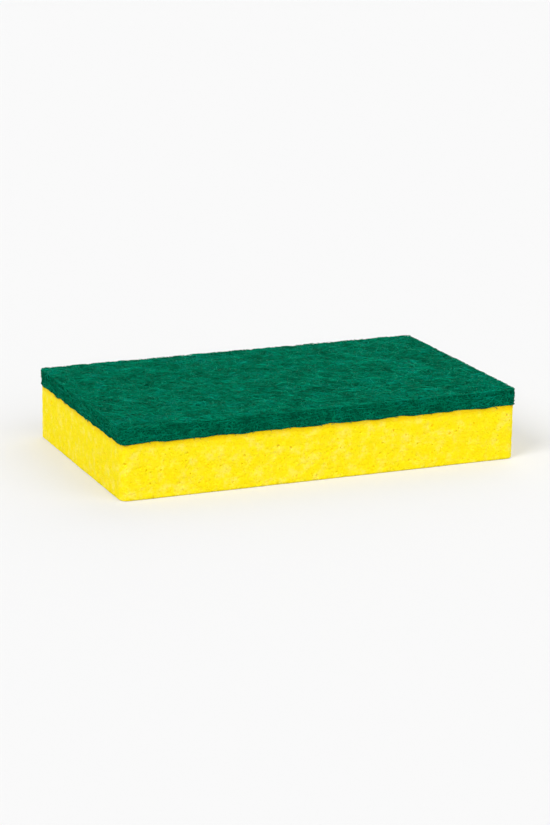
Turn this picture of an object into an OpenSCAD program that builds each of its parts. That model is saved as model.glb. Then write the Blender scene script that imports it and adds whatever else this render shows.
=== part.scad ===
// Two-layer cleaning sponge: an open-cell foam block with a non-woven scouring pad bonded on top.
// The sponge lies on the underside of its foam, with its long side along X and the pad facing up.
// The origin is the middle of the underside.

/* [Sponge] */
// Length along the long side, over the pad
sponge_l = 150; // [100:1:200]
// Width across the short side, over the pad
sponge_w = 88; // [60:1:120]

/* [Foam block] */
// Thickness of the foam, from its underside to the bond line
foam_t = 20; // [14:1:40]
// Radius of the upright corners of the foam
foam_corner_r = 2.8; // [1:0.1:6]
// How far the cut sides of the foam stand back from the edge of the pad
foam_setback = 0.4; // [0.3:0.1:1]

/* [Open cells] */
// Diameter of the largest open cells on the cut faces of the foam
cell_d = 2.2; // [1.2:0.1:3]
// Spacing of the open cells
cell_pitch = 6; // [5:0.5:12]

/* [Scouring pad] */
// Thickness of the pad, from the bond line to its highest tufts
pad_t = 6; // [4:0.5:12]
// Radius of the upright corners of the pad
pad_corner_r = 2; // [1.2:0.1:4]
// Radius of the soft edge round the top of the pad
pad_edge_r = 0.9; // [0.4:0.1:1.1]
// Height of the tufts of the felted web over its hollows
tuft_h = 0.5; // [0.1:0.1:1]
// Length of the longest waves of the felted web
tuft_run = 13; // [9:1:24]
// How far the cut sides of the pad wander inwards
pad_rag = 0.2; // [0:0.05:0.25]

/* [Bond line] */
// How far the bond line wanders up and down where it meets the sides
bond_rag = 0.35; // [0.05:0.05:0.8]
// Depth of the margin in which the bond turns from flat to wandering
bond_margin = 5; // [3:0.5:10]

/* [Hidden] */
$fn = 48;

// Margin by which cutters pass a face that they cut through
over = 1;
// Largest step between the points of the pad's top
web_step = 2.8;
// Steps round the soft edge of the pad
edge_steps = 3;
// Directions in which the fibres of the web run
web_layers = 6;
// Angle between the fibres of one layer and the next
layer_turn = 67;
// Share by which the waves of each layer are shorter than those of the layer before
layer_shrink = 0.07;
// Rows of patches up the cut sides of the pad
side_rows = 3;

// Diameter of the smallest open cells as a share of the largest
smallest_cell = 0.25;
// How far a cell's centre lies off the cut face, as a share of its radius
cell_sink = 0.35;

foam_l = sponge_l - 2 * foam_setback;
foam_w = sponge_w - 2 * foam_setback;
pad_z = foam_t;
top_z = foam_t + pad_t;

// Fields of the open cells, which keep clear of the rounded corners and the edges
field_l = foam_l - 2 * foam_corner_r - cell_d;
field_w = foam_w - 2 * foam_corner_r - cell_d;
field_t = foam_t - 2 * cell_d;

// Smooth step from 1 at the edge of the pad to 0 at the given depth
function fade(depth, reach) = depth >= reach ? 0 : 0.5 + 0.5 * cos(180 * depth / reach);

// Irregular wave between -1 and 1 along a length, with a different course for each seed
function wander(s, run, seed) =
    (cos(360 * s / run + 97 * seed)
    + cos(360 * s / (0.57 * run) + 211 * seed)
    + 0.6 * cos(360 * s / (0.31 * run) + 53 * seed)) / 2.6;

// Height of the felted web at a place on the pad, from 0 in a hollow to 1 on a tuft
function web(x, y) =
    let (ridges = [for (k = [0 : web_layers - 1])
        let (a = layer_turn * k,
             run = tuft_run * (1 - layer_shrink * k),
             along = x * cos(a) + y * sin(a),
             across = y * cos(a) - x * sin(a))
        1 - abs(cos(180 * across / run + 70 * sin(360 * along / (2.3 * run)) + 83 * k))])
    let (mean = ridges * [for (r = ridges) 1] / web_layers)
    min(1, max(0, 2 * mean - 0.2));

// Places of the grid lines across one side of the pad: close over the soft edge, then even
function grid_lines(size) =
    let (half = size / 2,
         soft_edge = [for (k = [0 : edge_steps]) pad_edge_r * (1 - cos(90 * k / edge_steps))],
         even_from = max(pad_corner_r, 1.6 * pad_edge_r),
         border = concat(soft_edge, [even_from]),
         n = ceil((size - 2 * even_from) / web_step))
    concat([for (d = border) d - half],
           [for (k = [1 : n - 1]) even_from - half + k * (size - 2 * even_from) / n],
           [for (k = [len(border) - 1 : -1 : 0]) half - border[k]]);

lines_x = grid_lines(sponge_l);
lines_y = grid_lines(sponge_w);
nx = len(lines_x);
ny = len(lines_y);

// Depth of a grid point inside the outline of the pad
function depth(x, y) = min(sponge_l / 2 - abs(x), sponge_w / 2 - abs(y));

// Pulls the grid points in each corner square of the pad onto arcs round the corner's centre
function rounded(x, y, r) =
    let (a = abs(x) - sponge_l / 2 + r,
         b = abs(y) - sponge_w / 2 + r,
         k = (a > 0 && b > 0) ? max(a, b) / norm([a, b]) : 1)
    k == 1 ? [x, y] : [sign(x) * (abs(x) - a + a * k), sign(y) * (abs(y) - b + b * k)];

// Draws a point near the cut side inwards, so that the side wanders as a die-cut felt does
function ragged(x, y, row) =
    let (in_x = pad_rag * (0.5 + 0.5 * wander(y, 17, row + (x > 0 ? 3 : 5))),
         in_y = pad_rag * (0.5 + 0.5 * wander(x, 19, row + (y > 0 ? 7 : 9))))
    [x - sign(x) * in_x * fade(sponge_l / 2 - abs(x), bond_margin),
     y - sign(y) * in_y * fade(sponge_w / 2 - abs(y), bond_margin)];

// A point of the pad in plan
function plan(x, y, row) =
    let (p = rounded(x, y, pad_corner_r))
    ragged(p[0], p[1], row);

// How far the soft edge drops the top at a depth inside the outline
function edge_drop(d) = d >= pad_edge_r ? 0 : pad_edge_r - sqrt(pad_edge_r ^ 2 - (pad_edge_r - d) ^ 2);

// Point of the pad's top
function top_point(x, y) =
    let (p = plan(x, y, side_rows),
         d = depth(x, y))
    [p[0], p[1], top_z - edge_drop(d) - tuft_h * (1 - web(x, y)) * (1 - fade(d, 2 * pad_edge_r))];

// Grid points round the outline, counter-clockwise from the front left corner
rim = concat([for (i = [0 : nx - 2]) [i, 0]],
             [for (j = [0 : ny - 2]) [nx - 1, j]],
             [for (i = [nx - 1 : -1 : 1]) [i, ny - 1]],
             [for (j = [ny - 1 : -1 : 1]) [0, j]]);
rim_n = len(rim);

// Height of the bond line at a place on the outline
function bond_z(x, y) = pad_z + bond_rag * wander(x - 1.7 * y, 23, 2);

// Point of the cut side of the pad: row 0 is the bond line
function side_point(g, row) =
    let (x = lines_x[g[0]],
         y = lines_y[g[1]],
         p = plan(x, y, row),
         low = bond_z(p[0], p[1]),
         high = top_z - pad_edge_r)
    [p[0], p[1], low + (high - low) * row / side_rows];

// Point of the ring inside which the bond is flat
function bond_point(g) =
    let (x = lines_x[g[0]],
         y = lines_y[g[1]])
    [x * (1 - 2 * bond_margin / sponge_l), y * (1 - 2 * bond_margin / sponge_w), pad_z];

// Two triangles for a four-cornered patch, whose corners run clockwise seen from outside
function patch(a, b, c, d) = [[a, b, c], [a, c, d]];

// Triangles between two rings of rim_n points that start at the given places in the list
function band(lower, upper) =
    [for (k = [0 : rim_n - 1]) let (m = (k + 1) % rim_n)
        each patch(lower + k, upper + k, upper + m, lower + m)];

// Triangles that face down from a middle point to a ring
function fan(middle, ring) =
    [for (k = [0 : rim_n - 1]) [middle, ring + k, ring + (k + 1) % rim_n]];

// Block with the underside of the pad, which cuts the same bond surface out of the foam
module bond_cutter() {
    bond_line = [for (g = rim) side_point(g, 0)];
    points = concat([for (g = rim) bond_point(g)],
                    bond_line,
                    [for (p = bond_line) [p[0], p[1], top_z]],
                    [[0, 0, pad_z], [0, 0, top_z]]);
    low = 3 * rim_n;
    high = low + 1;
    faces = concat(
        fan(low, 0),
        band(0, rim_n),
        band(rim_n, 2 * rim_n),
        [for (f = fan(high, 2 * rim_n)) [f[0], f[2], f[1]]]);
    polyhedron(points, faces);
}

// Number of open cells along a cut face, even so that no cell lies in the middle of the face
function cell_count(size) = 2 * max(1, floor(size / cell_pitch / 2));

// Open cells of one cut face, scattered about a lattice so that none meets its neighbour
module cells(l, w, seed) {
    cols = cell_count(l);
    rows = cell_count(w);
    step_x = l / cols;
    step_y = w / rows;
    shift_x = rands(-0.5, 0.5, cols * rows, seed) * (step_x - cell_d);
    shift_y = rands(-0.5, 0.5, cols * rows, seed + 1) * (step_y - cell_d);
    size = rands(smallest_cell, 1, cols * rows, seed + 2);
    sink = rands(-cell_sink, cell_sink, cols * rows, seed + 3);
    for (i = [0 : cols - 1], j = [0 : rows - 1]) {
        k = i * rows + j;
        r = cell_d / 2 * size[k];
        translate([(i + 0.5) * step_x - l / 2 + shift_x[k],
                   (j + 0.5) * step_y - w / 2 + shift_y[k],
                   r * sink[k]])
            sphere(r);
    }
}

module rounded_rect(l, w, r) {
    square([l - 2 * r, w], center = true);
    square([l, w - 2 * r], center = true);
    for (x = [-1, 1], y = [-1, 1])
        translate([x * (l / 2 - r), y * (w / 2 - r)])
            circle(r);
}

module foam_block() {
    color("gold")
        difference() {
            linear_extrude(foam_t + bond_rag + over)
                rounded_rect(foam_l, foam_w, foam_corner_r);
            bond_cutter();
            for (turn = [0, 180]) rotate(turn) {
                translate([0, -foam_w / 2, foam_t / 2])
                    rotate([90, 0, 0])
                        cells(field_l, field_t, 11 + turn);
                translate([foam_l / 2, 0, foam_t / 2])
                    rotate([90, 0, 90])
                        cells(field_w, field_t, 23 + turn);
            }
            cells(field_l, field_w, 37);
        }
}

module scouring_pad() {
    grid = nx * ny;
    points = concat([for (i = [0 : nx - 1], j = [0 : ny - 1]) top_point(lines_x[i], lines_y[j])],
                    [for (row = [side_rows - 1 : -1 : 0], g = rim) side_point(g, row)],
                    [for (g = rim) bond_point(g)],
                    [[0, 0, pad_z]]);
    function at(i, j) = i * ny + j;
    function side(row, k) = row == side_rows
        ? at(rim[k % rim_n][0], rim[k % rim_n][1])
        : grid + (side_rows - 1 - row) * rim_n + k % rim_n;
    bond = grid + side_rows * rim_n;
    middle = bond + rim_n;
    faces = concat(
        [for (i = [0 : nx - 2], j = [0 : ny - 2])
            each patch(at(i, j), at(i, j + 1), at(i + 1, j + 1), at(i + 1, j))],
        [for (row = [0 : side_rows - 1], k = [0 : rim_n - 1])
            each patch(side(row, k), side(row + 1, k), side(row + 1, k + 1), side(row, k + 1))],
        band(bond, bond - rim_n),
        fan(middle, bond));
    color("seagreen")
        polyhedron(points, faces);
}

foam_block();
scouring_pad();
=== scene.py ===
"""Looks of a two-layer cleaning sponge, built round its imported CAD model.

The foam is one closed mesh with open cells cut into its sides and underside. The scouring pad is
a rough core with a web of curled fibres felted over its top and its cut sides.
Lengths are worked out in millimetres and become metres where the meshes are made. Colours are
linear, and the scales of the materials' patterns are in cells per metre.
"""

import math
from collections import namedtuple

import bpy
import numpy as np
from mathutils import Matrix, Vector, geometry


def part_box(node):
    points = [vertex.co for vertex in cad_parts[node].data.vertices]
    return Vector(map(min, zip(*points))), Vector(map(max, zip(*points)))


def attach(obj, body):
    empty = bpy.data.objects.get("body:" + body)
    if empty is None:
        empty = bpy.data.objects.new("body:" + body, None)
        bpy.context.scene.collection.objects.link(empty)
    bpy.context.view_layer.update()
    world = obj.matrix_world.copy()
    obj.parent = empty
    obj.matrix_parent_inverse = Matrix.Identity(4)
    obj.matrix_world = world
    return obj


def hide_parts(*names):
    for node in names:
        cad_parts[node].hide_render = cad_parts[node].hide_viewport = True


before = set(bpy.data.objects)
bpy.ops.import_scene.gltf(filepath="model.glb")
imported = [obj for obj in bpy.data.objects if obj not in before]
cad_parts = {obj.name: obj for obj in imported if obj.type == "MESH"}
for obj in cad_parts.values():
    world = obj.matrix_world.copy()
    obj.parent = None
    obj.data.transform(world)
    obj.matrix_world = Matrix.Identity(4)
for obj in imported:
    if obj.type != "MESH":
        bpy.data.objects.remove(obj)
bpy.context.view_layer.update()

MM = 0.001

# Sizes of the sponge, read from the frame
foam_low, foam_high = (np.array(corner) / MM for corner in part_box("foam_block"))
pad_low, pad_high = (np.array(corner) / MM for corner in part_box("scouring_pad"))
FOAM_L, FOAM_W = (foam_high - foam_low)[:2]
PAD_L, PAD_W = (pad_high - pad_low)[:2]
TOP_Z = pad_high[2]

# Sizes that the frame's boxes don't give, as in the part's source
FOAM_T = 20.0
FOAM_CORNER_R = 2.8
PAD_CORNER_R = 2.0
BOND_RAG = 0.35
BOND_RUN = 23.0
BOND_MARGIN = 5.0

# Steps between the points of a rim, and of an end that is never seen
RING_STEP = 0.8
HIDDEN_STEP = 6.0
# Rings over a rounded edge, the radius under which an edge is small, and rings over a small one
EDGE_RINGS = 4
SMALL_EDGE = 0.5
SMALL_EDGE_RINGS = 2
# Height of a row of points and how far a point strays, as shares of their step
ROW_SHARE = 0.87
STRAY_SHARE = 0.24
# Points that lie nearer than this are one
SAME_PLACE = 1e-7

# Maps on which the colours can be laid out: the side in rows, and an unseen end made small
MAP_NAME = "OFBake"
MAP_ROWS = 3
MAP_ROW = 23.0
MAP_GAP = 2.0
MAP_HIDDEN = 0.05


# Surfaces and outlines


def level_at(z):
    """A level surface."""
    return lambda x, y: z + 0.0 * x


def wander(s, run, seed):
    """Irregular wave between -1 and 1 along a length, as in the part's source."""
    turn = 2 * np.pi * s / run
    seeds = np.radians([97.0 * seed, 211.0 * seed, 53.0 * seed])
    return (np.cos(turn + seeds[0]) + np.cos(turn / 0.57 + seeds[1])
            + 0.6 * np.cos(turn / 0.31 + seeds[2])) / 2.6


def rim_depth(x, y):
    """How far places lie inside the nearest straight side of the pad."""
    return np.minimum(PAD_L / 2 - abs(x), PAD_W / 2 - abs(y))


def bond_z(x, y):
    """Height of the surface where the pad meets the foam: flat inside, wandering at the rim."""
    depth = rim_depth(x, y).clip(0, BOND_MARGIN)
    fade = 0.5 + 0.5 * np.cos(np.pi * depth / BOND_MARGIN)
    return FOAM_T + BOND_RAG * fade * wander(x - 1.7 * y, BOND_RUN, 2)


def lumps(points, size, seed, waves=22):
    """Smooth random field of about unit strength, whose lumps are about half of size across."""
    rng = np.random.default_rng(seed)
    ways = rng.normal(size=(waves, 3))
    turns = rng.uniform(0.7, 1.4, waves) * 2 * np.pi / size
    ways *= (turns / np.linalg.norm(ways, axis=1))[:, None]
    phases = rng.uniform(0, 2 * np.pi, waves)
    return np.cos(points @ ways.T + phases).sum(axis=1) / math.sqrt(waves / 2)


class Outline:
    """A rounded rectangle round the origin, seen from above."""

    def __init__(self, l, w, r):
        self.l, self.w, self.r = l, w, r
        self.length = 2 * (l + w) - 8 * r + 2 * math.pi * r

    def at(self, s):
        """Points and outward normals at lengths s along it, from the middle of its back."""
        points = np.zeros((len(s), 2))
        normals = np.zeros((len(s), 2))
        half, long, short = self.l / 2 - self.r, self.l - 2 * self.r, self.w - 2 * self.r
        turn = math.pi / 2 * self.r
        here, start, heading = np.array([0.0, self.w / 2]), 0.0, math.pi
        for straight in (half, short, long, short, half):
            way = np.array([math.cos(heading), math.sin(heading)])
            side = np.array([way[1], -way[0]])
            on = (s >= start) & (s <= start + straight + SAME_PLACE)
            points[on] = here + np.outer(s[on] - start, way)
            normals[on] = side
            here = here + way * straight
            start += straight
            on = (s > start) & (s < start + turn)
            angle = heading - math.pi / 2 + (s[on] - start) / self.r
            centre = here - side * self.r
            normals[on] = np.stack([np.cos(angle), np.sin(angle)], axis=1)
            points[on] = centre + self.r * normals[on]
            here = centre + way * self.r
            start += turn
            heading += math.pi / 2
        return points, normals

    def beyond(self, x, y, inset=0.0):
        """How far places lie beyond the rectangle of the corners' centres, which is moved in by inset."""
        a = abs(x) - self.l / 2 + inset + self.r
        b = abs(y) - self.w / 2 + inset + self.r
        return np.hypot(np.maximum(a, 0), np.maximum(b, 0))


# Open cells

NO_CELLS = np.zeros((0, 3))
# Least gap between two open cells, and how often a place is sought for each
CELL_GAP = 0.22
CELL_TRIES = 12
# Depth, width across and reach of a ring's points, as shares of the cell's radius
CELL_DEPTH = (0.6, 1.1)
CELL_WIDTH = (0.72, 1.0)
CELL_REACH = (0.88, 1.0)
# Squares in which the places of open cells are marked, and the bare rim round each cell
PIXEL = 0.1
CELL_RIM = 0.12
# Rings of points that make an open cell: largest radius, points in each ring, their radii and depths
CELL_KINDS = (
    (0.42, (6,), (1.0,), (0.0,)),
    (0.8, (8, 5), (1.0, 0.62), (0.0, 0.62)),
    (math.inf, (12, 9, 5), (1.0, 0.78, 0.4), (0.0, 0.5, 0.9)),
)


def scatter_cells(width, height, clear, sizes, rng, inside=None):
    """Throws open cells of the given radii onto a field, the largest first, so that none meets another."""
    reach = sizes.max() * 2 + CELL_GAP
    grid, placed = {}, []
    for r in np.sort(sizes)[::-1]:
        for _ in range(CELL_TRIES):
            x = rng.uniform(clear + r, width - clear - r)
            y = rng.uniform(clear + r, height - clear - r)
            if inside is not None and not inside(x, y, r):
                continue
            i, j = int(x / reach), int(y / reach)
            near = [c for a in (-1, 0, 1) for b in (-1, 0, 1) for c in grid.get((i + a, j + b), ())]
            if all((x - c[0]) ** 2 + (y - c[1]) ** 2 > (r + c[2] + CELL_GAP) ** 2 for c in near):
                grid.setdefault((i, j), []).append((x, y, r))
                placed.append((x, y, r))
                break
    return np.array(placed)


def cell_points(cells, rng):
    """Points of all open cells in their field, with how deep each lies."""
    places, depths = [], []
    smallest = 0.0
    for largest, counts, radii, sinks in CELL_KINDS:
        some = cells[(cells[:, 2] > smallest) & (cells[:, 2] <= largest)]
        smallest = largest
        x, y, r = (some[:, column:column + 1] for column in range(3))
        depth = some[:, 2] * rng.uniform(*CELL_DEPTH, len(some))
        squeeze = rng.uniform(*CELL_WIDTH, len(some))[:, None]
        lean = rng.uniform(0, np.pi, len(some))[:, None]
        places.append(some[:, :2])
        depths.append(depth)
        for count, radius, sink in zip(counts, radii, sinks):
            turn = np.arange(count) / count * 2 * np.pi + rng.uniform(0, 2 * np.pi, (len(some), 1))
            reach = r * radius * rng.uniform(*CELL_REACH, turn.shape)
            u = reach * np.cos(turn)
            v = reach * np.sin(turn) * squeeze
            ring_x = x + u * np.cos(lean) - v * np.sin(lean)
            ring_y = y + u * np.sin(lean) + v * np.cos(lean)
            places.append(np.stack([ring_x.ravel(), ring_y.ravel()], axis=1))
            depths.append(np.repeat(depth * sink, count))
    return np.concatenate(places), np.concatenate(depths)


def fill_points(width, height, step, cells, rng):
    """Jittered points over a field, apart from where the open cells lie."""
    cols, rows = int(width / step), int(height / (step * ROW_SHARE))
    col, row = np.meshgrid(np.arange(1.0, cols), np.arange(1.0, rows), indexing="ij")
    x = (col + 0.25 * (-1) ** row) * width / cols
    y = row * height / rows
    spots = np.stack([x.ravel(), y.ravel()], axis=1)
    spots += rng.uniform(-STRAY_SHARE, STRAY_SHARE, spots.shape) * step
    taken = np.zeros((int(width / PIXEL) + 2, int(height / PIXEL) + 2), bool)
    for x, y, r in cells:
        reach = r + CELL_RIM
        i0, i1 = int((x - reach) / PIXEL), int((x + reach) / PIXEL) + 2
        j0, j1 = int((y - reach) / PIXEL), int((y + reach) / PIXEL) + 2
        i, j = np.meshgrid(np.arange(i0, i1), np.arange(j0, j1), indexing="ij")
        taken[i0:i1, j0:j1] |= (i * PIXEL - x) ** 2 + (j * PIXEL - y) ** 2 < reach ** 2
    i, j = (spots / PIXEL).astype(int).T
    return spots[~taken[i, j]]


# Meshes


def triangulate(border, inner):
    """Triangles over a closed border and the points inside it. The border's points come first."""
    points = [Vector(p) for p in np.concatenate([border, inner])]
    n = len(border)
    edges = [(k, (k + 1) % n) for k in range(n)]
    inside_only = 1
    found = geometry.delaunay_2d_cdt(points, edges, [], inside_only, SAME_PLACE, False)
    if len(found[0]) != len(points):
        raise ValueError("two points of a face lie too close together")
    return np.array(found[2])


def make_mesh(name, points, faces, places):
    """A triangle mesh from points in millimetres and the places of its corners on its map."""
    used = np.unique(faces)
    order = np.zeros(len(points), int)
    order[used] = np.arange(len(used))
    mesh = bpy.data.meshes.new(name)
    mesh.vertices.add(len(used))
    mesh.vertices.foreach_set("co", (points[used] * MM).astype(np.float32).ravel())
    mesh.loops.add(3 * len(faces))
    mesh.loops.foreach_set("vertex_index", order[faces].astype(np.int32).ravel())
    mesh.polygons.add(len(faces))
    mesh.polygons.foreach_set("loop_start", np.arange(0, 3 * len(faces), 3, dtype=np.int32))
    mesh.polygons.foreach_set("use_smooth", np.ones(len(faces), bool))
    mesh.uv_layers.new(name=MAP_NAME).uv.foreach_set("vector", places.astype(np.float32).ravel())
    mesh.update(calc_edges=True)
    if mesh.validate():
        raise ValueError(f"{name} has bad faces")
    piece = bpy.data.objects.new(name, mesh)
    bpy.context.scene.collection.objects.link(piece)
    return piece


# An end of a block: 1 if it faces up and -1 if down, its surface z(x, y), the radius of its edge, the
# step between its points, its open cells, and whether it is never seen
End = namedtuple("End", "up surface edge step cells hidden")


class Skin:
    """Closed skin of a block with a rounded outline: its side, two rounded edges and two ends.

    The step and the open cells are those of the side. The map unrolls the side into rows above the
    end that is seen.
    """

    def __init__(self, plan, step, cells, low, high, seed):
        self.plan, self.low, self.high = plan, low, high
        self.rng = np.random.default_rng(seed)
        self.points, self.normals, self.depths, self.faces, self.maps = [], [], [], [], []
        self.count = 0
        self.s = np.linspace(0, plan.length, int(plan.length / RING_STEP) + 1)
        rise = high.surface(plan.l / 2, 0.0) - low.surface(plan.l / 2, 0.0)
        self.height = float(rise - low.edge - high.edge)
        low_ring, high_ring = self.side(step, cells)
        low_ring = self.edge(low_ring, low)
        high_ring = self.edge(high_ring, high)
        self.close(low_ring, low)
        self.close(high_ring, high)

    def add(self, points, normals, depths):
        """Adds points and gives their numbers."""
        first = self.count
        self.points.append(points)
        self.normals.append(normals)
        self.depths.append(depths)
        self.count += len(points)
        return first + np.arange(len(points))

    def side(self, step, cells):
        """The side, unrolled: s runs round it and t up it. Gives the rings at which the edges start."""
        ups = np.linspace(0, self.height, max(2, int(self.height / RING_STEP)) + 1)
        n, m = len(self.s) - 1, len(ups) - 1
        border = np.concatenate([
            np.stack([self.s[:-1], np.zeros(n)], axis=1),
            np.stack([np.full(m, self.plan.length), ups[:-1]], axis=1),
            np.stack([self.s[:0:-1], np.full(n, self.height)], axis=1),
            np.stack([np.zeros(m), ups[:0:-1]], axis=1)])
        sunk, depth = cell_points(cells, self.rng)
        fill = fill_points(self.plan.length, self.height, step, cells, self.rng)
        faces = triangulate(border, np.concatenate([sunk, fill]))
        flat = np.concatenate([border, sunk, fill])
        place, normal = self.plan.at(flat[:, 0])
        low = self.low.surface(*place.T) + self.low.edge
        high = self.high.surface(*place.T) - self.high.edge
        z = low + (high - low) * flat[:, 1] / self.height
        depths = np.concatenate([np.zeros(len(border)), depth, np.zeros(len(fill))])
        index = self.add(np.column_stack([place, z]), np.column_stack([normal, np.zeros(len(z))]), depths)
        self.map_rows(flat[faces])
        # The right end of the unrolled side meets its left end
        index[n] = index[0]
        index[n + 1:n + m + 1] = index[len(border) - 1:len(border) - m - 1:-1]
        self.faces.append(index[faces])
        return index[:n], index[2 * n + m:n + m:-1]

    def map_rows(self, flat):
        """Places faces of the unrolled side on the map, where it is cut into rows."""
        length = self.plan.length
        row = (flat[:, :, 0].mean(axis=1) / length * MAP_ROWS).astype(int).clip(0, MAP_ROWS - 1)
        u = flat[:, :, 0] - (row * length / MAP_ROWS)[:, None] + MAP_GAP
        v = flat[:, :, 1] + (self.plan.w + 3 * MAP_GAP + row * MAP_ROW)[:, None]
        self.maps.append(np.stack([u, v], axis=2))

    def edge(self, ring, end):
        """Rings that turn from the side over a rounded edge onto an end. Gives the last of them."""
        steps = SMALL_EDGE_RINGS if end.edge < SMALL_EDGE else EDGE_RINGS
        place, normal = self.plan.at(self.s[:-1])
        rim = end.surface(*place.T)
        rise = end.up * end.edge * math.pi / 2 / steps
        start = self.height if end.up > 0 else 0.0
        for k in range(1, steps + 1):
            angle = math.pi / 2 * k / steps
            inset = end.edge * (1 - math.cos(angle))
            z = rim - end.up * end.edge * (1 - math.sin(angle))
            out = np.column_stack([normal * math.cos(angle), np.full(len(z), end.up * math.sin(angle))])
            last = self.add(np.column_stack([place - normal * inset, z]), out, np.zeros(len(z)))
            self.band(ring, last, end.up, start, start + rise)
            ring, start = last, start + rise
        return ring

    def band(self, ring, last, up, start, end):
        """Faces between two rings, which lie at these heights on the unrolled side."""
        a, b, c, d = ring, np.roll(ring, -1), np.roll(last, -1), last
        faces = np.concatenate([np.stack([a, b, c], axis=1), np.stack([a, c, d], axis=1)])
        s, t = self.s[:-1], self.s[1:]
        along = np.concatenate([np.stack([s, t, t], axis=1), np.stack([s, t, s], axis=1)])
        height = np.repeat([[start, start, end], [start, end, end]], len(s), axis=0)
        self.faces.append(faces[:, ::up])
        self.map_rows(np.stack([along, height], axis=2)[:, ::up])

    def close(self, ring, end):
        """The end inside a ring, on its own surface."""
        l, w = self.plan.l, self.plan.w
        corner = np.array([l, w]) / 2
        border = np.concatenate(self.points)[ring][:, :2]
        sunk, depth = cell_points(end.cells, self.rng)
        fill = fill_points(l, w, end.step, end.cells, self.rng) - corner
        fill = fill[self.plan.beyond(*fill.T, inset=0.5 * end.step + end.edge) < self.plan.r]
        inner = np.concatenate([sunk - corner, fill])
        faces = triangulate(border, inner)[:, ::end.up]
        out = np.tile([0.0, 0.0, float(end.up)], (len(inner), 1))
        depths = np.concatenate([depth, np.zeros(len(fill))])
        added = self.add(np.column_stack([inner, end.surface(*inner.T)]), out, depths)
        self.faces.append(np.concatenate([ring, added])[faces])
        size = MAP_HIDDEN if end.hidden else 1.0
        above = w + MAP_GAP + MAP_ROWS * MAP_ROW if end.hidden else 0.0
        place = (np.concatenate([border, inner]) + corner)[faces] * size
        self.maps.append(place + [MAP_GAP + l * (1 - size), MAP_GAP + above])

    def mesh(self, name, relief):
        """The skin as an object, drawn inwards by its open cells and by relief(points, normals)."""
        points = np.concatenate(self.points)
        normals = np.concatenate(self.normals)
        depth = np.concatenate(self.depths) + relief(points, normals)
        l, w = self.plan.l, self.plan.w
        map_size = max(l + 2 * MAP_GAP, w + 3 * MAP_GAP + MAP_ROWS * MAP_ROW + w * MAP_HIDDEN)
        places = np.concatenate(self.maps) / map_size
        return make_mesh(name, points - normals * depth[:, None], np.concatenate(self.faces), places)


# The foam

# The cut faces swell a little before their relief draws them in again
FOAM_SWELL = 0.2
foam_plan = Outline(FOAM_L + 2 * FOAM_SWELL, FOAM_W + 2 * FOAM_SWELL, FOAM_CORNER_R)
# Radii of the edges round the underside and under the pad
UNDER_EDGE = 0.4
BOND_EDGE = 0.15
# Steps between the points of the side and of the underside
FOAM_SIDE_STEP = 1.1
FOAM_UNDER_STEP = 1.5
# Creases sharper than this stay sharp, such as the rims of the open cells
SHARP_ANGLE = math.radians(48)

# Open cells of the side and the underside: how many are thrown, and how far they keep from the edges
FOAM_SIDE_CELLS = 5200
FOAM_SIDE_CLEAR = 0.4
FOAM_UNDER_CELLS = 3600
FOAM_UNDER_CLEAR = 0.8
# Height of the side that its edges and the bond's waves take from the open cells
FOAM_SIDE_LOST = 0.7
# Least radius of the fine cells and of the large ones, and how much larger each kind may be
FINE_CELL_R = 0.18
FINE_CELL_MORE = 0.2
LARGE_CELL_R = 0.4
LARGE_CELL_MORE = 0.45
# One cell in this many is large
LARGE_EVERY = 24

# Depth of the relief: its waves, its grain, and its grain round the lower edge
FOAM_WAVES = 0.14
FOAM_GRAIN = 0.1
FOAM_EDGE_GRAIN = 0.28
# Share of the relief on the underside, on which the sponge lies
UNDER_SHARE = 0.5


def cell_sizes(count, rng):
    """Radii of open cells: most are fine, and a few large."""
    sizes = FINE_CELL_R + FINE_CELL_MORE * rng.uniform(0, 1, count) ** 1.5
    large = rng.choice(count, count // LARGE_EVERY, replace=False)
    sizes[large] = LARGE_CELL_R + LARGE_CELL_MORE * rng.uniform(0, 1, len(large)) ** 2
    return sizes


def foam_cells():
    """Open cells of the side and of the underside."""
    rng = np.random.default_rng(41)
    l, w, r = foam_plan.l, foam_plan.w, foam_plan.r

    def on_underside(x, y, cell_r):
        return foam_plan.beyond(x - l / 2, y - w / 2) < r - cell_r - FOAM_UNDER_CLEAR

    sizes = cell_sizes(FOAM_SIDE_CELLS, rng)
    side = scatter_cells(foam_plan.length, FOAM_T - FOAM_SIDE_LOST, FOAM_SIDE_CLEAR, sizes, rng)
    sizes = cell_sizes(FOAM_UNDER_CELLS, rng)
    under = scatter_cells(l, w, FOAM_UNDER_CLEAR, sizes, rng, on_underside)
    return side, under


def foam_relief(points, normals):
    """How far the relief draws the foam's swollen faces in."""
    waves = 0.5 + 0.25 * lumps(points, 14, 5) + 0.2 * lumps(points, 5, 6)
    grain = np.random.default_rng(7).uniform(0, 1, len(points))
    under = normals[:, 2] < -0.99
    lower_edge = (normals[:, 2] < -0.2) & ~under
    depth = FOAM_WAVES * waves.clip(0, 1) + np.where(lower_edge, FOAM_EDGE_GRAIN, FOAM_GRAIN) * grain
    return depth * np.where(under, UNDER_SHARE, 1.0)


def build_foam():
    side, under = foam_cells()
    low = End(up=-1, surface=level_at(0.0), edge=UNDER_EDGE, step=FOAM_UNDER_STEP, cells=under,
              hidden=False)
    high = End(up=1, surface=bond_z, edge=BOND_EDGE, step=HIDDEN_STEP, cells=NO_CELLS, hidden=True)
    skin = Skin(foam_plan, FOAM_SIDE_STEP, side, low, high, seed=3)
    piece = skin.mesh("foam", foam_relief)
    piece.data.set_sharp_from_angle(angle=SHARP_ANGLE)
    return piece


# The core of the scouring pad

pad_plan = Outline(PAD_L, PAD_W, PAD_CORNER_R)
# How far the core lies inside the pad's box, at the top and at the cut sides, and its grain
CORE_SINK = 1.0
CORE_INSET = 0.32
CORE_GRAIN = 0.2
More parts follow.
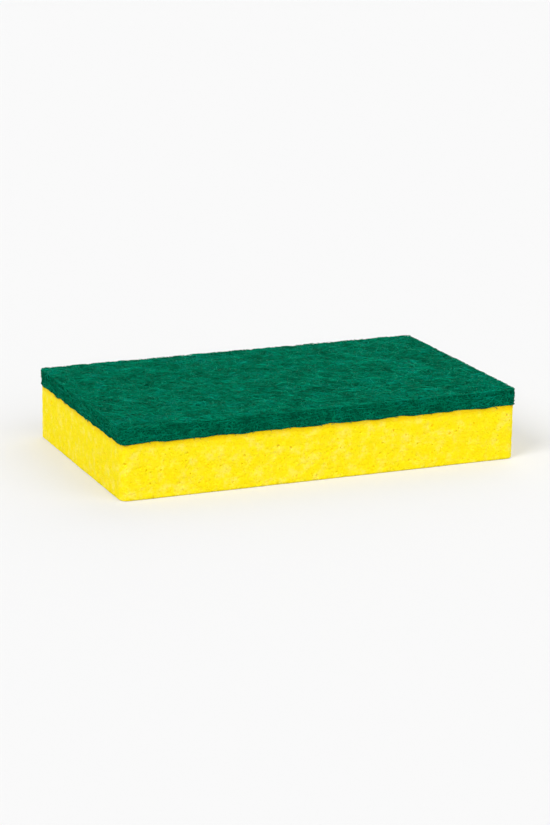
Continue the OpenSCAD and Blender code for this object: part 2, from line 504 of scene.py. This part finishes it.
# Radii of its edges at the bond and at the top, and steps between the points of its side and its top
CORE_BOND_EDGE = 0.1
CORE_TOP_EDGE = 0.5
CORE_SIDE_STEP = 0.7
CORE_TOP_STEP = 0.8


def core_relief(points, normals):
    """How far the core lies inside its box, in clumps, so that the fibres lie round it."""
    clumps = 0.5 + 0.3 * lumps(points, 6, 15) + 0.3 * lumps(points, 2.4, 16)
    grain = np.random.default_rng(17).uniform(0, 1, len(points))
    sink = CORE_INSET + (CORE_SINK - CORE_INSET) * normals[:, 2].clip(0, 1)
    depth = sink * (0.7 + 0.3 * clumps.clip(0, 1)) + CORE_GRAIN * grain
    on_bond = normals[:, 2] < -0.5
    return np.where(on_bond, 0.0, depth)


def build_core():
    low = End(up=-1, surface=bond_z, edge=CORE_BOND_EDGE, step=HIDDEN_STEP, cells=NO_CELLS, hidden=True)
    high = End(up=1, surface=level_at(TOP_Z), edge=CORE_TOP_EDGE, step=CORE_TOP_STEP, cells=NO_CELLS,
               hidden=False)
    skin = Skin(pad_plan, CORE_SIDE_STEP, NO_CELLS, low, high, seed=13)
    return skin.mesh("pad_core", core_relief)


# The fibres of the scouring pad

# Radius of a fibre, how far it varies, and the points along it
FIBRE_R = 0.1
FIBRE_VARIES = (0.7, 1.3)
FIBRE_POINTS = 10
# Steps in which a fibre's curls are worked out, and the fewest that a trimmed fibre keeps
CURL_STEPS = 40
FEWEST_STEPS = 4
# Name of the fibres' own tone, and its range on the top and on the sides
TONE = "tone"
TOP_TONES = (0.15, 1.0)
SIDE_TONES = (0.0, 0.85)

# Fibres of the top: layers, fibres thrown in each, their length and curl
TOP_LAYERS = (1, 2, 3)
TOP_COUNT = 3440
TOP_RUN = (8, 16)
TOP_CURL = 0.62
# How deep they lie, the deepest that any point lies, and how far each swings in how many waves
TOP_DEPTH = (0.2, 0.95)
TOP_DEEPEST = 1.15
TOP_SWING = 0.2
TOP_WAVES = (0.6, 2.2)
# Depth and size of the clumps in which they lie
CLUMP_DEPTH = 0.12
CLUMP_SIZE = 8
# How far they keep from the pad's outline
TOP_MARGIN = 0.1
# Drop and width of the soft edge round the top
EDGE_DROP = 0.1
EDGE_WIDTH = 1.0
# Width of the rim in which they lie less deep, and the share of their depth that is left at its edge
RIM_WIDTH = 2.0
RIM_SHARE = 0.3

# Fibres of the cut sides: how many are thrown, their length, curl, and how far they run up and down
SIDE_COUNT = 3410
SIDE_RUN = (5, 11)
SIDE_CURL = 0.5
SIDE_SWING = 0.35
# How far inside the outline their middles lie, and how much further in their ends
SIDE_DEPTH = (0.15, 0.5)
SIDE_BEND = (0, 0.7)
# How far they keep below the top and may pass the bond
SIDE_MARGIN = 0.2

# Loose ends: how many, how far they run along the side, stand out of it, and start inside it
LOOSE_COUNT = 260
LOOSE_RUN = 2.2
LOOSE_REACH = (0.1, 0.5)
LOOSE_ROOT = 0.25
# Share of a half turn through which one arches
LOOSE_ARCH = (0.5, 0.95)
# Share of them that start just over the bond, where these start and how far they fall
LOOSE_LOW_SHARE = 0.6
LOOSE_LOW = (0.1, 0.9)
LOOSE_LOW_FALL = (0.2, 1.0)
# How far the others rise or fall, and the gap to the top that their starts and all points keep
LOOSE_FALL = (-0.6, 0.6)
LOOSE_MARGIN = 0.4
LOOSE_TOP = 0.1


def curled(run, curl, rng):
    """Plan paths of curled fibres of these lengths about their middles: fibre, point and two places."""
    count = len(run)
    t = np.linspace(-0.5, 0.5, CURL_STEPS)
    turn = rng.uniform(0, 2 * np.pi, (count, 1))
    for waves in (1, 2, 3):
        bend = curl / waves * rng.normal(size=(count, 1))
        turn = turn + bend * np.cos(2 * np.pi * waves * t + rng.uniform(0, 2 * np.pi, (count, 1)))
    steps = np.stack([np.cos(turn), np.sin(turn)], axis=2) * (run / CURL_STEPS)[:, None, None]
    path = np.cumsum(steps, axis=1)
    return path - path[:, CURL_STEPS // 2:CURL_STEPS // 2 + 1]


def trimmed(path, inside):
    """Each fibre cut off where it leaves the pad on either side of its middle, with FIBRE_POINTS points."""
    steps = path.shape[1]
    middle = steps // 2
    before = ~inside[:, :middle][:, ::-1]
    after = ~inside[:, middle:]
    first = middle - np.where(before.any(axis=1), before.argmax(axis=1), middle)
    last = middle + np.where(after.any(axis=1), after.argmax(axis=1), steps - middle) - 1
    keep = (last - first >= FEWEST_STEPS) & inside[:, middle]
    path, first, last = path[keep], first[keep], last[keep]
    at = first[:, None] + (last - first)[:, None] * np.linspace(0, 1, FIBRE_POINTS)
    low = np.floor(at).astype(int).clip(0, steps - 2)
    share = (at - low)[:, :, None]
    rows = np.arange(len(path))[:, None]
    return path[rows, low] * (1 - share) + path[rows, low + 1] * share


def top_fibres(count, seed):
    """Fibres that lie in the top of the web."""
    rng = np.random.default_rng(seed)
    path = curled(rng.uniform(*TOP_RUN, count), TOP_CURL, rng)
    path = path + rng.uniform(-0.5, 0.5, (count, 1, 2)) * [PAD_L, PAD_W]
    x, y = path[:, :, 0], path[:, :, 1]
    inside = pad_plan.beyond(x, y, inset=TOP_MARGIN) < PAD_CORNER_R
    level = rng.uniform(*TOP_DEPTH, (count, 1))
    t = np.linspace(0, 1, CURL_STEPS)
    turns = rng.uniform(*TOP_WAVES, (count, 1)) * t + rng.uniform(0, 1, (count, 1))
    swing = TOP_SWING * np.sin(2 * np.pi * turns)
    flat = np.stack([x.ravel(), y.ravel(), 0 * x.ravel()], axis=1)
    clump = CLUMP_DEPTH * lumps(flat, CLUMP_SIZE, 31).reshape(x.shape)
    rim = rim_depth(x, y)
    edge = (rim / EDGE_WIDTH).clip(0, 1)
    drop = EDGE_DROP * (1 - np.sqrt(edge * (2 - edge)))
    fade = RIM_SHARE + (1 - RIM_SHARE) * (rim / RIM_WIDTH).clip(0, 1)
    depth = (level + swing + clump).clip(0.0, TOP_DEEPEST) * fade
    return trimmed(np.dstack([x, y, TOP_Z - FIBRE_R - depth - drop]), inside)


def round_pad(s, out):
    """Places at lengths s round the pad and this far outside its outline."""
    place, normal = pad_plan.at((s % pad_plan.length).ravel())
    return (place + normal * out.ravel()[:, None]).reshape(*s.shape, 2)


def side_fibres(count, seed):
    """Fibres that lie along the cut sides of the web."""
    rng = np.random.default_rng(seed)
    path = curled(rng.uniform(*SIDE_RUN, count), SIDE_CURL, rng)
    s = rng.uniform(0, pad_plan.length, (count, 1)) + path[:, :, 0]
    z = FOAM_T + rng.uniform(0, TOP_Z - FOAM_T, (count, 1)) + SIDE_SWING * path[:, :, 1]
    t = np.linspace(-1, 1, CURL_STEPS)
    into = rng.uniform(*SIDE_DEPTH, (count, 1)) + rng.uniform(*SIDE_BEND, (count, 1)) * t ** 2
    place = round_pad(s, -into)
    low = bond_z(place[:, :, 0], place[:, :, 1])
    inside = (z > low - SIDE_MARGIN) & (z < TOP_Z - SIDE_MARGIN)
    return trimmed(np.dstack([place, z]), inside)


def loose_ends(count, seed):
    """Loose ends that stand out from the cut sides, most of which hang over the bond."""
    rng = np.random.default_rng(seed)

    def one_each(low, high):
        return rng.uniform(low, high, (count, 1))

    t = np.linspace(0, 1, FIBRE_POINTS)
    s = one_each(0, pad_plan.length) + one_each(-LOOSE_RUN, LOOSE_RUN) * t
    out = one_each(*LOOSE_REACH) * np.sin(np.pi * one_each(*LOOSE_ARCH) * t) - LOOSE_ROOT
    low_share = one_each(0, 1)
    low_start = one_each(*LOOSE_LOW)
    high_start = one_each(LOOSE_LOW[1], TOP_Z - FOAM_T - LOOSE_MARGIN)
    is_low = low_share < LOOSE_LOW_SHARE
    fall = np.where(is_low, one_each(*LOOSE_LOW_FALL), one_each(*LOOSE_FALL))
    z = FOAM_T + np.where(is_low, low_start, high_start) - fall * t ** 1.5
    return np.dstack([round_pad(s, out), z.clip(None, TOP_Z - LOOSE_TOP)])


def tube_map(steps):
    """Places of one tube's corners on a square of side 1, in the order of its faces."""
    margin, high, wide = 0.06, 0.8 / (steps - 1), 0.88 / 3
    k, j = (a.ravel() for a in np.meshgrid(np.arange(steps - 1), np.arange(3), indexing="ij"))
    low, left = margin + high * k, margin + wide * j
    up, right = low + high, left + wide
    first = np.stack([np.stack([right, right, left], axis=1), np.stack([up, low, low], axis=1)], axis=2)
    second = np.stack([np.stack([left, right, left], axis=1), np.stack([up, up, low], axis=1)], axis=2)
    ends = np.array([[[0.1, 0.9], [0.4, 0.9], [0.25, 0.98]], [[0.6, 0.9], [0.9, 0.9], [0.75, 0.98]]])
    return np.concatenate([first, second, ends])


def tubes(name, paths, tones, seed):
    """Closed three-sided tubes along paths, as one piece, each with a tone of its own."""
    rng = np.random.default_rng(seed)
    count, steps, _ = paths.shape
    along = np.gradient(paths, axis=1)
    along /= np.linalg.norm(along, axis=2, keepdims=True).clip(1e-9)
    across = np.cross(along, [0.0, 0.0, 1.0])
    across /= np.linalg.norm(across, axis=2, keepdims=True).clip(1e-9)
    above = np.cross(across, along)
    width = FIBRE_R * rng.uniform(*FIBRE_VARIES, (count, 1, 1, 1))
    angle = rng.uniform(0, 2 * np.pi, (count, 1, 1)) + np.arange(3) * 2 * np.pi / 3
    ring = across[:, :, None] * np.cos(angle)[..., None] + above[:, :, None] * np.sin(angle)[..., None]
    points = paths[:, :, None] + width * ring
    k = np.arange(steps - 1)[:, None] * 3
    j = np.arange(3)
    n = (j + 1) % 3
    quads = np.stack([k + j, k + n, k + 3 + n, k + 3 + j], axis=2).reshape(-1, 4)
    end = 3 * (steps - 1)
    faces = np.concatenate([quads[:, [2, 1, 0]], quads[:, [3, 2, 0]], [[0, 1, 2], [end + 2, end + 1, end]]])
    every = (np.arange(count) * 3 * steps)[:, None, None] + faces
    map_cols = math.ceil(math.sqrt(count))
    square = np.stack(np.divmod(np.arange(count), map_cols), axis=1)[:, None, None, :]
    places = (square + tube_map(steps)) / map_cols
    piece = make_mesh(name, points.reshape(-1, 3), every.reshape(-1, 3), places)
    tone = piece.data.attributes.new(TONE, "FLOAT", "POINT")
    tone.data.foreach_set("value", np.repeat(rng.uniform(*tones, count), 3 * steps).astype(np.float32))
    return piece


def build_fibres():
    """The web: three layers over the top, and one piece for the cut sides and their loose ends."""
    pieces = [tubes(f"pad_fibres_top_{layer}", top_fibres(TOP_COUNT, 100 + layer), TOP_TONES, layer)
              for layer in TOP_LAYERS]
    side = np.concatenate([side_fibres(SIDE_COUNT, 104), loose_ends(LOOSE_COUNT, 105)])
    pieces.append(tubes("pad_fibres_side", side, SIDE_TONES, 4))
    return pieces


# Materials

WHITE = (1.0, 1.0, 1.0)
BLACK = (0.0, 0.0, 0.0)

# Foam: its deep to pale patches, and the painted shade of its hollows, of its open cells and under the pad
# at the bond
FOAM_COLOUR = (0.97, 0.78, 0.01)
FOAM_PATCHES = (
    (0.34, (0.98, 0.77, 0.002)),
    (0.5, (0.985, 0.785, 0.01)),
    (0.6, (0.99, 0.795, 0.04)),
    (0.68, (0.99, 0.81, 0.08)),
)
HOLLOW_SHADE = (0.99, 0.95, 0.35)
OPEN_CELL_SHADE = (0.965, 0.92, 0.4)
BOND_SHADE = (0.9, 0.78, 0.4)
# Depths under the bond between which the painted shade under the pad fades in
BOND_SHADE_FROM = 2.4
BOND_SHADE_TO = 0.4

# Core: its strands, darker and lighter, and the painted shade in the gaps between them
CORE_COLOUR = (0.0, 0.1, 0.05)
CORE_STRANDS = ((0.35, (0.0, 0.12, 0.06)), (0.65, (0.0, 0.23, 0.115)))
CORE_GAP_SHADE = (0.0, 0.06, 0.031)
# Scales of its two nets of fine lines, and how far a swirl bends them, in metres
NET_SCALES = (620, 1050)
NET_BEND = 0.0016

# Fibres: their colour by tone, the shade of larger patches, specks along them, and their sheen
FIBRE_COLOUR = (0.0, 0.2, 0.095)
FIBRE_TONES = (
    (0.0, (0.0, 0.15, 0.068)),
    (0.5, (0.0, 0.26, 0.123)),
    (0.8, (0.0, 0.32, 0.165)),
    (1.0, (0.0, 0.44, 0.22)),
)
FIBRE_SHADES = ((0.36, (0.62, 0.66, 0.7)), (0.52, (0.9, 0.9, 0.95)), (0.68, (1, 1, 1.25)))
FIBRE_SPECKS = ((0.38, (0.55, 0.55, 0.55)), (0.56, WHITE))
FIBRE_SHEEN = (0.25, 1.0, 0.75, 1)


def material(name, colour, roughness, specular):
    """A material with its shader's plain values set, and that shader."""
    mat = bpy.data.materials.new(name)
    mat.use_nodes = True
    shader = mat.node_tree.nodes["Principled BSDF"]
    shader.inputs["Base Color"].default_value = (*colour, 1)
    shader.inputs["Roughness"].default_value = roughness
    shader.inputs["Specular IOR Level"].default_value = specular
    return mat, shader


def node(tree, kind, settings=None, **inputs):
    """A node with its settings and inputs. An input is a value or another node's output."""
    made = tree.nodes.new(kind)
    for key, value in (settings or {}).items():
        setattr(made, key, value)
    for key, value in inputs.items():
        socket = made.inputs[key.replace("_", " ")]
        if isinstance(value, bpy.types.NodeSocket):
            tree.links.new(value, socket)
        else:
            socket.default_value = value
    return made


def noise(tree, place, scale, **inputs):
    """A noise pattern at a place, with its other inputs."""
    return node(tree, "ShaderNodeTexNoise", Vector=place, Scale=scale, **inputs)


def voronoi(tree, place, scale, feature="F1"):
    """A pattern of cells at a place."""
    return node(tree, "ShaderNodeTexVoronoi", {"feature": feature}, Vector=place, Scale=scale)


def ramp(tree, factor, stops):
    """A colour ramp over a factor, from (position, colour) stops."""
    made = node(tree, "ShaderNodeValToRGB", Fac=factor)
    elements = made.color_ramp.elements
    while len(elements) < len(stops):
        elements.new(0.5)
    for element, (position, colour) in zip(elements, stops):
        element.position = position
        element.color = (*colour, 1)
    return made.outputs["Color"]


def mixed(tree, kind, factor, first, second):
    """Two colours mixed by a factor, each a colour or a node's output."""
    mix = node(tree, "ShaderNodeMix", {"data_type": "RGBA", "blend_type": kind})
    for socket, value in zip((mix.inputs[0], mix.inputs[6], mix.inputs[7]), (factor, first, second)):
        if isinstance(value, bpy.types.NodeSocket):
            tree.links.new(value, socket)
        else:
            socket.default_value = value if isinstance(value, float) else (*value, 1)
    return mix.outputs[2]


def add_bump(tree, shader, height, strength, distance):
    """Fine relief for a shader, from the height of a pattern."""
    bump = node(tree, "ShaderNodeBump", Strength=strength, Distance=distance, Height=height)
    tree.links.new(bump.outputs["Normal"], shader.inputs["Normal"])


def foam_material():
    """Foam with patches, and painted shade in a fine grain of hollows, in a few open cells and under the
    bond.
    """
    mat, shader = material("foam", FOAM_COLOUR, roughness=0.9, specular=0.12)
    tree = mat.node_tree
    place = node(tree, "ShaderNodeTexCoord").outputs["Object"]
    patches = noise(tree, place, 330, Detail=3, Roughness=0.5).outputs["Fac"]
    colour = ramp(tree, patches, FOAM_PATCHES)
    grain = voronoi(tree, place, 1500).outputs["Distance"]
    # Painted shade in the fine hollows of the foam's cells
    hollow_shade = ramp(tree, grain, [(0.1, HOLLOW_SHADE), (0.5, WHITE)])
    colour = mixed(tree, "MULTIPLY", 0.55, colour, hollow_shade)
    # A few cells darkened as painted shade inside open cells
    opening = voronoi(tree, place, 620)
    pick = node(tree, "ShaderNodeSeparateColor", Color=opening.outputs["Color"]).outputs["Red"]
    few = ramp(tree, pick, [(0.78, BLACK), (0.9, WHITE)])
    spot = ramp(tree, opening.outputs["Distance"], [(0.12, WHITE), (0.32, BLACK)])
    open_cell_shade_mask = mixed(tree, "MULTIPLY", 1.0, few, spot)
    colour = mixed(tree, "MULTIPLY", open_cell_shade_mask, colour, OPEN_CELL_SHADE)
    # Painted shade under the pad's edge, deepest just under the bond
    height = node(tree, "ShaderNodeSeparateXYZ", Vector=place).outputs["Z"]
    shade_under_pad = node(tree, "ShaderNodeMapRange", {"interpolation_type": "SMOOTHSTEP"}, Value=height,
                   From_Min=(FOAM_T - BOND_SHADE_FROM) * MM, From_Max=(FOAM_T - BOND_SHADE_TO) * MM)
    colour = mixed(tree, "MULTIPLY", shade_under_pad.outputs["Result"], colour, BOND_SHADE)
    tree.links.new(colour, shader.inputs["Base Color"])
    add_bump(tree, shader, grain, strength=0.3, distance=0.00025)
    shader.inputs["Subsurface Weight"].default_value = 0.35
    shader.inputs["Subsurface Radius"].default_value = (1.0, 0.7, 0.2)
    shader.inputs["Subsurface Scale"].default_value = 0.0012
    return mat


def core_material():
    """Deeper fibres of the web, drawn as two crossing nets of fine lines over painted shade in the gaps."""
    mat, shader = material("pad_core", CORE_COLOUR, roughness=0.9, specular=0.0)
    tree = mat.node_tree
    place = node(tree, "ShaderNodeTexCoord").outputs["Object"]
    swirl = noise(tree, place, 520, Detail=1).outputs["Color"]
    shift = node(tree, "ShaderNodeVectorMath", {"operation": "SCALE"}, Vector=swirl, Scale=NET_BEND)
    bent = node(tree, "ShaderNodeVectorMath", {"operation": "ADD"})
    tree.links.new(place, bent.inputs[0])
    tree.links.new(shift.outputs["Vector"], bent.inputs[1])
    nets = []
    for scale in NET_SCALES:
        gap = voronoi(tree, bent.outputs["Vector"], scale, "DISTANCE_TO_EDGE").outputs["Distance"]
        nets.append(ramp(tree, gap, [(0.03, WHITE), (0.1, BLACK)]))
    web = mixed(tree, "LIGHTEN", 1.0, *nets)
    patches = noise(tree, place, 300, Detail=3, Roughness=0.6).outputs["Fac"]
    strands = ramp(tree, patches, CORE_STRANDS)
    # Painted shade in the gaps between the strands
    tree.links.new(mixed(tree, "MIX", web, CORE_GAP_SHADE, strands), shader.inputs["Base Color"])
    add_bump(tree, shader, web, strength=0.8, distance=0.0003)
    return mat


def fibre_material():
    """Stiff fibres, each of its own tone, in lighter and darker patches and with specks along them."""
    mat, shader = material("pad_fibres", FIBRE_COLOUR, roughness=0.6, specular=0.015)
    tree = mat.node_tree
    place = node(tree, "ShaderNodeTexCoord").outputs["Object"]
    tone = node(tree, "ShaderNodeAttribute", {"attribute_name": TONE}).outputs["Fac"]
    patches = noise(tree, place, 170, Detail=3, Roughness=0.6).outputs["Fac"]
    grit = noise(tree, place, 2600, Detail=2, Roughness=0.6).outputs["Fac"]
    colour = mixed(tree, "MULTIPLY", 1.0, ramp(tree, tone, FIBRE_TONES), ramp(tree, patches, FIBRE_SHADES))
    colour = mixed(tree, "MULTIPLY", 0.6, colour, ramp(tree, grit, FIBRE_SPECKS))
    tree.links.new(colour, shader.inputs["Base Color"])
    shader.inputs["Specular Tint"].default_value = FIBRE_SHEEN
    return mat


# Floor, light and camera

# Brightness of the background, of the floor in itself, and of the light from all around
BACKGROUND = 0.955
FLOOR = 0.6
AMBIENT = 0.51
# How far the floor reaches, in metres
FLOOR_REACH = 6.0
# Lamps: the way to each, the share of white that it gives a surface facing it, and its spread in degrees
LAMPS = {
    "key": ((-1.0, -0.45, 0.9), 0.56, 30),
    "front": ((0.45, -1.0, 0.7), 0.38, 60),
    "back": ((0.8, 0.9, 0.7), 0.26, 60),
}
# Lens and sensor in millimetres, the camera's place and aim in metres, and its roll in degrees
LENS = 109.0
SENSOR = 36.0
CAMERA_PLACE = (-0.3448, -0.8002, 0.2520)
CAMERA_AIM = (0.0, 0.0, 0.013)
CAMERA_ROLL = 0.75

scene = bpy.context.scene
scene.view_settings.view_transform = "Standard"


def seen_directly(tree):
    """Whether the camera, a reflection or a clear surface looks here, and not a lamp's bounce."""
    path = node(tree, "ShaderNodeLightPath")
    most = path.outputs["Is Camera Ray"]
    for name in ("Is Glossy Ray", "Is Transmission Ray"):
        pair = node(tree, "ShaderNodeMath", {"operation": "MAXIMUM"})
        tree.links.new(most, pair.inputs[0])
        tree.links.new(path.outputs[name], pair.inputs[1])
        most = pair.outputs["Value"]
    return most


def build_floor(level):
    """A pale floor that takes the object's shadow, under light of this level.

    What it lacks of the background's brightness is added where it is looked at.
    """
    reach = FLOOR_REACH
    mesh = bpy.data.meshes.new("floor")
    mesh.from_pydata([(-reach, -reach, 0), (reach, -reach, 0), (reach, reach, 0), (-reach, reach, 0)],
                     [], [(0, 1, 2, 3)])
    floor = bpy.data.objects.new("floor", mesh)
    scene.collection.objects.link(floor)
    mat, shader = material("floor", (FLOOR, FLOOR, FLOOR), roughness=1.0, specular=0.0)
    tree = mat.node_tree
    shader.inputs["Emission Color"].default_value = (*WHITE, 1)
    lift = node(tree, "ShaderNodeMath", {"operation": "MULTIPLY"})
    tree.links.new(seen_directly(tree), lift.inputs[0])
    lift.inputs[1].default_value = BACKGROUND - FLOOR * level
    tree.links.new(lift.outputs["Value"], shader.inputs["Emission Strength"])
    mesh.materials.append(mat)


def build_world():
    """Even light from all around, which looks as bright as the background."""
    world = bpy.data.worlds.new("studio")
    scene.world = world
    world.use_nodes = True
    tree = world.node_tree
    ground = tree.nodes["Background"]
    ground.inputs["Color"].default_value = (*WHITE, 1)
    ground.inputs["Strength"].default_value = AMBIENT
    seen = node(tree, "ShaderNodeBackground", Color=(BACKGROUND, BACKGROUND, BACKGROUND, 1), Strength=1.0)
    mix = node(tree, "ShaderNodeMixShader", Fac=seen_directly(tree))
    tree.links.new(ground.outputs["Background"], mix.inputs[1])
    tree.links.new(seen.outputs["Background"], mix.inputs[2])
    tree.links.new(mix.outputs["Shader"], tree.nodes["World Output"].inputs["Surface"])


def build_lamp(name, way, share, spread):
    """A wide soft lamp. Gives the share of white to which it lights the floor."""
    data = bpy.data.lights.new(name, "SUN")
    data.energy = share * math.pi
    data.angle = math.radians(spread)
    lamp = bpy.data.objects.new(name, data)
    lamp.rotation_euler = Vector(way).to_track_quat("Z", "Y").to_euler()
    scene.collection.objects.link(lamp)
    return share * Vector(way).normalized().z


def build_camera():
    data = bpy.data.cameras.new("camera")
    data.sensor_fit = "VERTICAL"
    data.sensor_height = SENSOR
    data.lens = LENS
    camera = bpy.data.objects.new("camera", data)
    camera.location = CAMERA_PLACE
    look = (Vector(CAMERA_AIM) - Vector(CAMERA_PLACE)).to_track_quat("-Z", "Y").to_matrix()
    camera.rotation_euler = (look @ Matrix.Rotation(math.radians(CAMERA_ROLL), 3, "Z")).to_euler()
    scene.collection.objects.link(camera)
    scene.camera = camera


# The scene

foam = build_foam()
foam.data.materials.append(foam_material())
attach(foam, "root")
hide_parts("foam_block")

core = build_core()
core.data.materials.append(core_material())
fibres = build_fibres()
strands = fibre_material()
for piece in fibres:
    piece.data.materials.append(strands)
for piece in [core, *fibres]:
    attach(piece, "root")
    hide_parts("scouring_pad")

level = AMBIENT
for name, lamp in LAMPS.items():
    level += build_lamp(name, *lamp)
build_floor(level)
build_world()
build_camera()
